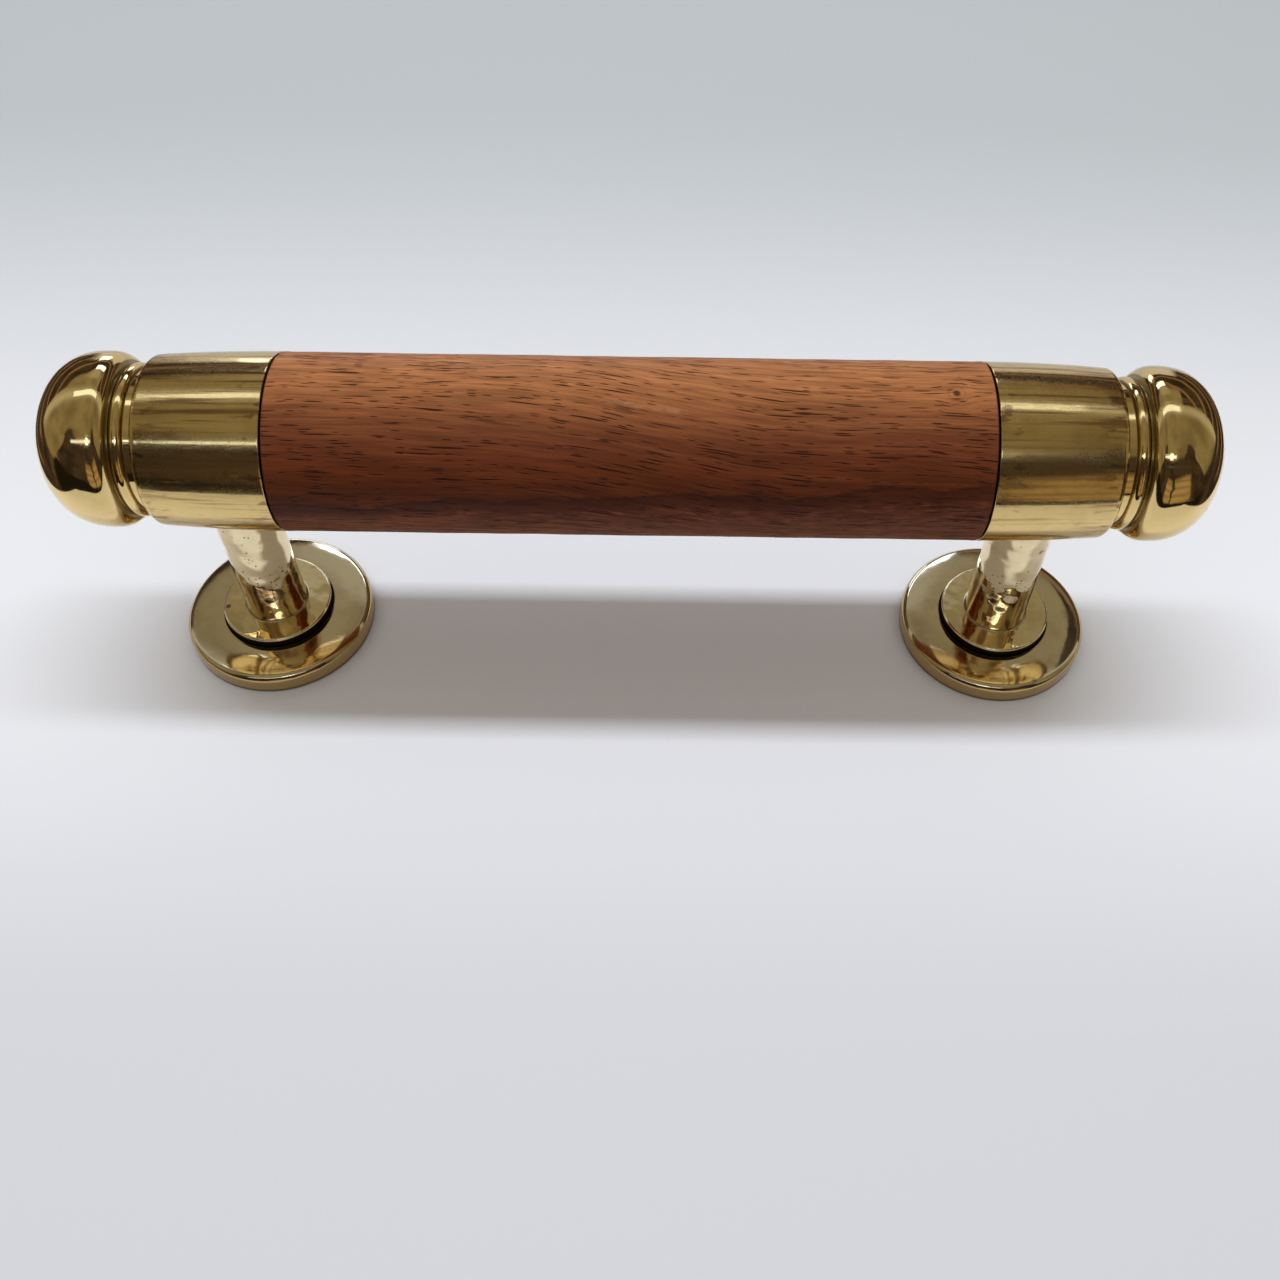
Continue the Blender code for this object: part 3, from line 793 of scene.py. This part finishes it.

# %% [markdown]
# Shade is painted dark into the corners of the metal, and a post that was cast keeps marks of the mould.
# Both depend on where the corners are, so the sizes of the flanges and finials come first. Lengths close to
# a corner are counted in tenths of a millimetre.

# %% Painted shade and casting marks
FLANGE_THICKNESS, FLANGE_EDGE = 22 * TENTH, 5 * TENTH
FLANGE_TOP = ROSE_THICKNESS + FIT + FLANGE_THICKNESS
POST_RADIUS = 73 * TENTH
STAIN_HEIGHT = 115 * TENTH
NECK_LENGTH, BEAD_LENGTH, LAND_LENGTH = 18 * TENTH, 27 * TENTH, 5 * TENTH
BEAD_START = FINIAL_START + NECK_LENGTH
LAND_START = BEAD_START + BEAD_LENGTH
LAND_END = LAND_START + LAND_LENGTH


def diagonal(across, up):
    """Distance over two lengths at right angles."""
    squares = calc("ADD", calc("POWER", across, 2.0), calc("POWER", up, 2.0))
    return calc("SQRT", squares)


def make_painted_shade_group():
    """Painted shade: dark on the flange's wall and foot, round the shaft's foot, under the socket, in the
    finial's grooves and at the floor."""
    tree, place, out = new_group("painted_shade", ("Painted Shade",))
    x, y, z = split(place)
    wide = off(x)
    from_post = diagonal(minus(wide, POST_PLACE), y)
    from_axis = diagonal(y, minus(z, RAIL_HEIGHT))
    over_flange = minus(z, FLANGE_TOP)
    over_rose = minus(z, ROSE_THICKNESS)
    # Painted shade: each mask below darkens a corner, a place under another part, or the foot at the floor.
    wall = product(fade(over_flange, -7 * TENTH, -4 * TENTH), ramp(over_rose, TENTH, 2 * TENTH))
    ring = fade(off(from_post, FLANGE_RADIUS + TENTH), 2 * TENTH, 5 * TENTH)
    ring = product(ring, fade(over_flange, -10 * TENTH, -8 * TENTH))
    foot = fade(off(from_post, POST_RADIUS), TENTH, 7 * TENTH, 0.45)
    foot = product(foot, fade(over_flange, 2 * TENTH, 8 * TENTH))
    saddle = fade(from_axis, GRIP_RADIUS + TENTH, GRIP_RADIUS + 8 * TENTH)
    saddle = product(saddle, fade(wide, FERRULE_END - 10 * TENTH, FERRULE_END - 5 * TENTH))
    grooves = [off(wide, groove) for groove in (FINIAL_START, BEAD_START, LAND_START, LAND_END)]
    grooves = largest(*(fade(groove, 0.5 * TENTH, 2.5 * TENTH, 0.6) for groove in grooves))
    grooves = product(grooves, ramp(z, ROSE_THICKNESS + FLANGE_RADIUS, RAIL_HEIGHT - GRIP_RADIUS))
    floor = fade(z, 4 * TENTH, 14 * TENTH, 0.6)
    fill(out, {"Painted Shade": largest(wall, ring, foot, saddle, grooves, floor)})
    return tree


def make_casting_group():
    """Small pits that keep together in clusters up the shaft, and brown stains that run up its foot."""
    tree, place, out = new_group("casting", ("Pits", "Stains"))
    over_flange = minus(split(place)[2], FLANGE_TOP)
    pits = cell_spots(place, 1100.0, (0.62, 0.68), (0.16, 0.36))
    cluster = ramp(noise(place, 140.0), 0.50, 0.56)
    pits = product(pits, cluster, ramp(over_flange, 0.0, STAIN_HEIGHT))
    streaks = ramp(noise(place, (520.0, 520.0, 30.0), 3.0), 0.42, 0.56)
    low = fade(over_flange, STAIN_HEIGHT, 1.3 * STAIN_HEIGHT)
    stains = product(streaks, ramp(over_flange, 4 * TENTH, 10 * TENTH), low)
    fill(out, {"Pits": pits, "Stains": stains})
    return tree


painted_shade_group = make_painted_shade_group()
casting_group = make_casting_group()
print("grime and casting nodes:", len(painted_shade_group.nodes), len(casting_group.nodes))

# %% [markdown]
# Brass is a metal with a strong colour of its own, so its mirror images are golden. The finials are polished
# almost to a mirror. The cast posts are paler and full of soft dents, the roses are smoky, and the sockets
# are only brushed round the axis on the lathe, which draws each bright line out along the rail.

# %% Brass finishes
TARNISH_COLOUR = (0.44, 0.27, 0.11)
STAIN_AND_DARK_REFLECTION_COLOUR = (0.25, 0.12, 0.06)
ROSE_WALL_REFLECTION_COLOUR = (0.49, 0.335, 0.135)
PIT_COLOUR = (0.10, 0.06, 0.03)
PAINTED_SHADE_COLOUR = (0.018, 0.010, 0.006)
TARNISH_ROUGHNESS, SCRATCH_ROUGHNESS, PAINTED_SHADE_ROUGHNESS = 0.06, 0.10, 0.5
QUARTER_TURN = 0.25
SHARED = {"roughness": 0.05, "haze": 0.02, "tarnish": 0.25, "pit_amount": 0.4}
FINISHES = {
    "polished_brass": {"clean": (0.84, 0.63, 0.275), "dents": 0.4 * TENTH},
    "cast_brass": {
        "clean": (0.90, 0.76, 0.47), "dents": 3 * TENTH, "cast": True,
        "roughness": 0.04, "tarnish": 0.30, "pit_amount": 0.8,
    },
    "smoky_brass": {"clean": (0.80, 0.70, 0.49), "dents": 0.5 * TENTH, "roughness": 0.06},
    "brushed_brass": {
        "clean": (0.80, 0.595, 0.25), "dents": 0.3 * TENTH, "brushing": 0.6,
        "haze": 0.19, "tarnish": 0.35, "pit_amount": 0.1,
    },
}


def add_brushed_wear_and_painted_bands(place, colour):
    """Brown streaks along the top of a socket and lower down, partly staining and partly painted reflection
    that bands the mirrored room there, and dark spots near both its ends.
    """
    x, _, z = split(place)
    wide = off(x)
    height = minus(z, RAIL_HEIGHT)
    # Painted reflection as well as staining: the streaks darken the bands that the socket mirrors at its top
    # and low down.
    on_top = ramp(height, 0.70 * GRIP_RADIUS, 0.85 * GRIP_RADIUS, 0.25, 0.75)
    low_down = fade(height, 0.20 * GRIP_RADIUS, 0.35 * GRIP_RADIUS, 0.45)
    streaks = ramp(noise(place, (14.0, 900.0, 900.0), 4.0), 0.50, 0.68)
    colour = lay(colour, STAIN_AND_DARK_REFLECTION_COLOUR, streaks, calc("ADD", on_top, low_down))
    at_start = fade(wide, FERRULE_START + 10 * TENTH, FERRULE_START + 80 * TENTH)
    at_end = ramp(wide, FERRULE_END - 80 * TENTH, FERRULE_END - 20 * TENTH)
    spots = ramp(noise(place, (260.0, 600.0, 600.0), 4.0), 0.57, 0.65, 0.0, 0.7)
    return lay(colour, STAIN_AND_DARK_REFLECTION_COLOUR, spots, largest(at_start, at_end))


def make_brass(name, clean, roughness, haze, tarnish, pit_amount, dents, brushing=0.0, cast=False):
    """Clean metal under tarnish, pits and fine dents. Haze is the depth of the lathe's lines. A brushed
    finish spreads its highlights and has streaks; any other has painted shade in its corners."""
    material, tree, shader = new_material(name)
    place = object_place(tree)
    marks = use_group(wear_group, place)
    rings = noise(place, (4200.0, 160.0, 160.0))
    hairs = ramp(noise(place, (14000.0, 4500.0, 4500.0)), 0.45, 0.55)
    z = split(place)[2]
    # Painted reflection: low down, as on a rose's wall, the metal gets a darker gold, as if it mirrored
    # shaded floor.
    painted_wall_reflection = fade(z, ROSE_THICKNESS - 10 * TENTH, ROSE_THICKNESS - 7 * TENTH, 0.9)
    colour = lay(clean, TARNISH_COLOUR, marks["Tarnish"], tarnish)
    colour = lay(colour, TARNISH_COLOUR, rings, 0.5 * haze)
    colour = lay(colour, ROSE_WALL_REFLECTION_COLOUR, painted_wall_reflection)
    pits = product(marks["Pits"], pit_amount)
    if cast:
        casting = use_group(casting_group, place)
        pits = largest(pits, casting["Pits"])
        colour = lay(colour, STAIN_AND_DARK_REFLECTION_COLOUR, casting["Stains"], 0.8)
    colour = lay(colour, PIT_COLOUR, pits)
    rough = plus(roughness, marks["Tarnish"], TARNISH_ROUGHNESS)
    rough = plus(rough, marks["Scratches"], SCRATCH_ROUGHNESS)
    rough = plus(rough, hairs, haze)
    if brushing > 0:
        colour = add_brushed_wear_and_painted_bands(place, colour)
        around = node("ShaderNodeTangent", {}, tree, direction_type="RADIAL", axis="X").outputs[0]
        fill(shader, {"Tangent": around, "Anisotropic": brushing, "Anisotropic Rotation": QUARTER_TURN})
    else:
        # Painted shade: dark colour and more roughness in the corners, under the socket and at the floor.
        painted_shade = use_group(painted_shade_group, place)["Painted Shade"]
        colour = lay(colour, PAINTED_SHADE_COLOUR, painted_shade)
        rough = plus(rough, painted_shade, PAINTED_SHADE_ROUGHNESS)
    relief = plus(product(pits, -1.0), marks["Scratches"], -0.15)
    fine = node("ShaderNodeBump", {"Height": relief, "Strength": 0.25, "Distance": 0.5 * TENTH})
    waves = noise(place, 170.0, 1.5)
    inputs = {"Height": waves, "Strength": 1.0, "Distance": dents, "Normal": fine.outputs[0]}
    bump = node("ShaderNodeBump", inputs).outputs[0]
    fill(shader, {"Base Color": colour, "Roughness": rough, "Metallic": 1.0, "Normal": bump})
    return material


brass = {name: make_brass(name, **{**SHARED, **facts}) for name, facts in FINISHES.items()}
print("brass finishes:", ", ".join(brass))

# %% [markdown]
# Each socket is a cup that the grip's tenon fills. Outside it narrows a little towards the end, then rounds
# over. Inside are the socket for the tenon and a hole for the tie rod, so this profile closes on itself too.

# %% Sockets
FERRULE_TAPER = 9 * TENTH
FERRULE_LIP = 3 * TENTH
FERRULE_END_WALL = 34 * TENTH
SHOULDER_LENGTH, SHOULDER_DROP = 15 * TENTH, 15 * TENTH
SOCKET_RADIUS = GRIP_RADIUS - FERRULE_WALL
SOCKET_END = FERRULE_END - FERRULE_END_WALL
TAPER_LENGTH = FERRULE_END - FERRULE_START - SHOULDER_LENGTH
SOCKET_UNEVENNESS, SOCKET_WAVE = 0.06 * TENTH, 0.009
SIDES = (("left", -1.0), ("right", 1.0))


def socket_radius(along):
    """Outside radius of the taper: the grip's, less the taper times the square of the way along it."""
    return GRIP_RADIUS - FERRULE_TAPER * ((along - FERRULE_START) / TAPER_LENGTH) ** 2


def make_socket(side_name, side):
    """A rounded lip, the taper, a rounded shoulder, then the rod's hole and the inside of the cup."""
    taper_along = np.linspace(FERRULE_START + FERRULE_LIP, FERRULE_START + TAPER_LENGTH, 33)
    taper = np.stack((taper_along, socket_radius(taper_along)), axis=1)
    shoulder = (FERRULE_START + TAPER_LENGTH, GRIP_RADIUS - FERRULE_TAPER - SHOULDER_DROP)
    lip = (FERRULE_START + FERRULE_LIP, GRIP_RADIUS - FERRULE_LIP)
    points = profile(
        arc(lip, (FERRULE_LIP, FERRULE_LIP), 180, 90, count=6),
        taper,
        arc(shoulder, (SHOULDER_LENGTH, SHOULDER_DROP), 90, 0, count=16),
        (FERRULE_END, ROD_HOLE),
        (SOCKET_END, ROD_HOLE),
        (SOCKET_END, SOCKET_RADIUS),
        (FERRULE_START, SOCKET_RADIUS),
    )
    along, radius = points[:, :1], points[:, 1:]
    outside = (radius > SOCKET_RADIUS + FERRULE_LIP) & (along > lip[0])
    swell = outside * (ripple(along, angles(), SOCKET_WAVE, SOCKET_UNEVENNESS) - 2 * SOCKET_UNEVENNESS)
    grid = turned_on_rail(points, side, swell)
    finish = brass["brushed_brass"]
    show(f"{side_name}_socket", grid, finish, f"{side_name}_ferrule", loop=True)


for side_name, side in SIDES:
    make_socket(side_name, side)

# %% [markdown]
# The finial is the piece that shows off the turner: a plain neck, a bead, a narrow land and a bun-shaped
# knob. The knob's shoulder and nose are curves a little fuller than ellipses, and the shoulder is cut short
# where it meets the land. Its back is bored for the rod and recessed for the nut.

# %% Finials
NECK_RADIUS = GRIP_RADIUS - 38 * TENTH
BEAD_RISE, LAND_RISE = 11 * TENTH, 5 * TENTH
KNOB_RADIUS = GRIP_RADIUS - 3.5 * TENTH
KNOB_SHOULDER, KNOB_SHOULDER_DEPTH = 50 * TENTH, 49 * TENTH
SHOULDER_CUT, SHOULDER_FULLNESS = 150, 2.6
NOSE_FULLNESS = 2.3
FINIAL_BORE_SPARE, DRILL_POINT = 10 * TENTH, 18 * TENTH
RECESS_RADIUS = 62 * TENTH


def make_finial(side_name, side):
    """From the bottom of the bore out to the neck, over bead and land, and along the knob to its tip."""
    land_radius = NECK_RADIUS + LAND_RISE
    cut = abs(np.cos(np.radians(SHOULDER_CUT))) ** (2 / SHOULDER_FULLNESS)
    crown = LAND_END + KNOB_SHOULDER * cut
    shoulder = (crown, KNOB_RADIUS - KNOB_SHOULDER_DEPTH)
    shoulder_size = (KNOB_SHOULDER, KNOB_SHOULDER_DEPTH)
    nose_size = (FINIAL_END - crown, KNOB_RADIUS)
    bore_end = ROD_END + FINIAL_BORE_SPARE
    points = profile(
        (bore_end + DRILL_POINT, 0.0),
        (bore_end, ROD_HOLE),
        (NUT_END, ROD_HOLE),
        (NUT_END, RECESS_RADIUS),
        (FINIAL_START, RECESS_RADIUS),
        (FINIAL_START, NECK_RADIUS),
        arc((BEAD_START + BEAD_LENGTH / 2, NECK_RADIUS), (BEAD_LENGTH / 2, BEAD_RISE), 180, 0, count=36),
        (LAND_START, land_radius),
        (LAND_END, land_radius),
        arc(shoulder, shoulder_size, SHOULDER_CUT, 90, count=48, fullness=SHOULDER_FULLNESS),
        arc((crown, 0.0), nose_size, 90, 0, count=64, fullness=NOSE_FULLNESS)[:-1],
        (FINIAL_END, 0.0),
    )
    grid = turned_on_rail(points, side)
    show(f"{side_name}_knob", grid, brass["polished_brass"], f"{side_name}_finial")


for side_name, side in SIDES:
    make_finial(side_name, side)

# %% [markdown]
# A post is turned too, but its top is coped: cut to the curve of the socket that it carries. So the upper
# rows of its grid end at a height that changes round the post, and the saddle closes across the middle.
# It was cast and polished by hand, which leaves its surface a little uneven.

# %% Posts
POST_FILLET = 5 * TENTH
FOOT_RADIUS, FOOT_RECESS = 65 * TENTH, 5 * TENTH
FIXING_BORE_RADIUS, FIXING_BORE_DEPTH = 34 * TENTH, 220 * TENTH
SADDLE_EDGE = 1.5 * TENTH
POST_UNEVENNESS, POST_WAVE = 0.7 * TENTH, 0.011


def saddle_height(x, y):
    """Height of the socket's underside over a point: the rail's axis less the drop to its tapered round."""
    radius = socket_radius(np.abs(x)) + FIT
    return RAIL_HEIGHT - np.sqrt(radius ** 2 - y ** 2)


def post_foot():
    """Profile from the fixing bore round the foot and the flange to the fillet at the shaft."""
    flange_under = ROSE_THICKNESS + FIT
    flange_edge = (FLANGE_TOP - FLANGE_EDGE, FLANGE_RADIUS - FLANGE_EDGE)
    fillet = (FLANGE_TOP + POST_FILLET, POST_RADIUS + POST_FILLET)
    bore_end = FOOT_RECESS + FIXING_BORE_DEPTH
    return profile(
        (bore_end + DRILL_POINT, 0.0),
        (bore_end, FIXING_BORE_RADIUS),
        (FOOT_RECESS, FIXING_BORE_RADIUS),
        (FOOT_RECESS, FOOT_RADIUS),
        (flange_under, FOOT_RADIUS),
        (flange_under, FLANGE_RADIUS),
        arc(flange_edge, (FLANGE_EDGE, FLANGE_EDGE), 90, 0, count=10),
        arc(fillet, (POST_FILLET, POST_FILLET), 180, 270, count=20),
    )


def make_post(side_name, side):
    """The turned foot, then rows up the shaft to the saddle's rim, then rings from the rim to the middle."""
    lower = post_foot()
    start = lower[-1, 0]
    angle = angles()
    out_x, out_y = np.cos(angle), np.sin(angle)
    share = np.linspace(0.0, 1.0, 49)[1:, None]
    rim_height = saddle_height(POST_PLACE + POST_RADIUS * out_x, POST_RADIUS * out_y) - SADDLE_EDGE
    shaft_height = start + share * (rim_height - start)
    swell = ripple(shaft_height, angle, POST_WAVE, POST_UNEVENNESS) - 2 * POST_UNEVENNESS
    radius = POST_RADIUS + np.sin(np.pi * share) ** 0.5 * swell
    shaft = np.stack((POST_PLACE + radius * out_x, radius * out_y, shaft_height), axis=-1)
    reach = np.linspace(POST_RADIUS - SADDLE_EDGE, 0.0, 13)[:, None]
    x, y = POST_PLACE + reach * out_x, reach * out_y
    saddle = np.stack((x, y, saddle_height(x, y)), axis=-1)
    grid = np.concatenate((turned_on_post(lower), shaft, saddle)) * (side, side, 1.0)
    show(f"{side_name}_pillar", grid, brass["cast_brass"], f"{side_name}_post")


for side_name, side in SIDES:
    make_post(side_name, side)

# %% [markdown]
# The rose is a round plate. From the flange outwards its top falls in a curve, ever steeper, until it meets
# the rounded edge at a slope, and underneath is a small chamfer. It has a hole for the post's foot, so the
# profile is a closed ring.

# %% Roses
ROSE_EDGE = 18 * TENTH
ROSE_SLOPE, ROSE_SLOPE_POWER = np.radians(9.0), 3
ROSE_CHAMFER = 3 * TENTH


def make_rose(side_name, side):
    """The top falls by a power of the way out, whose slope at the rim is that of the round edge there."""
    hole = FOOT_RADIUS + FIT
    rim_radius = ROSE_RADIUS - ROSE_EDGE * (1 - np.sin(ROSE_SLOPE))
    width = rim_radius - FLANGE_RADIUS
    share = np.linspace(1.0, 0.0, 25)
    fall = np.tan(ROSE_SLOPE) * width / ROSE_SLOPE_POWER * share ** ROSE_SLOPE_POWER
    top = np.stack((ROSE_THICKNESS - fall, FLANGE_RADIUS + share * width), axis=1)
    edge = (top[0, 0] - ROSE_EDGE * np.cos(ROSE_SLOPE), ROSE_RADIUS - ROSE_EDGE)
    points = profile(
        (0.0, hole),
        (0.0, ROSE_RADIUS - ROSE_CHAMFER),
        (ROSE_CHAMFER, ROSE_RADIUS),
        arc(edge, (ROSE_EDGE, ROSE_EDGE), 90, np.degrees(ROSE_SLOPE), count=20),
        top,
        (ROSE_THICKNESS, hole),
    )
    grid = turned_on_post(points, side)
    finish = brass["smoky_brass"]
    show(f"{side_name}_plate", grid, finish, f"{side_name}_rose", loop=True)


for side_name, side in SIDES:
    make_rose(side_name, side)

# %% [markdown]
# The tie rod, its nuts and washers stay as the frame has them, because nothing of them shows. They still
# get a real finish: dull zinc plating with a faint spangle.

# %% Plated steel
STEEL_COLOUR = (0.60, 0.59, 0.56)
STEEL_SHADE = (0.38, 0.38, 0.37)
STEEL_ROUGHNESS, SPANGLE_ROUGHNESS = 0.34, 0.15


def make_plated_steel():
    """Grey metal that is duller and darker in its blotches."""
    material, tree, shader = new_material("plated_steel")
    spangle = use_group(wear_group, object_place(tree))["Tarnish"]
    colour = lay(STEEL_COLOUR, STEEL_SHADE, spangle)
    rough = plus(STEEL_ROUGHNESS, spangle, SPANGLE_ROUGHNESS)
    fill(shader, {"Base Color": colour, "Roughness": rough, "Metallic": 1.0})
    return material


plated_steel = make_plated_steel()
for name in ("tie_rod", "left_rod_washer", "right_rod_washer", "left_rod_nut", "right_rod_nut"):
    hidden_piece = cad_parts[name]
    hidden_piece.data.materials.clear()
    hidden_piece.data.materials.append(plated_steel)
print("plated steel on the rod and its fastenings")
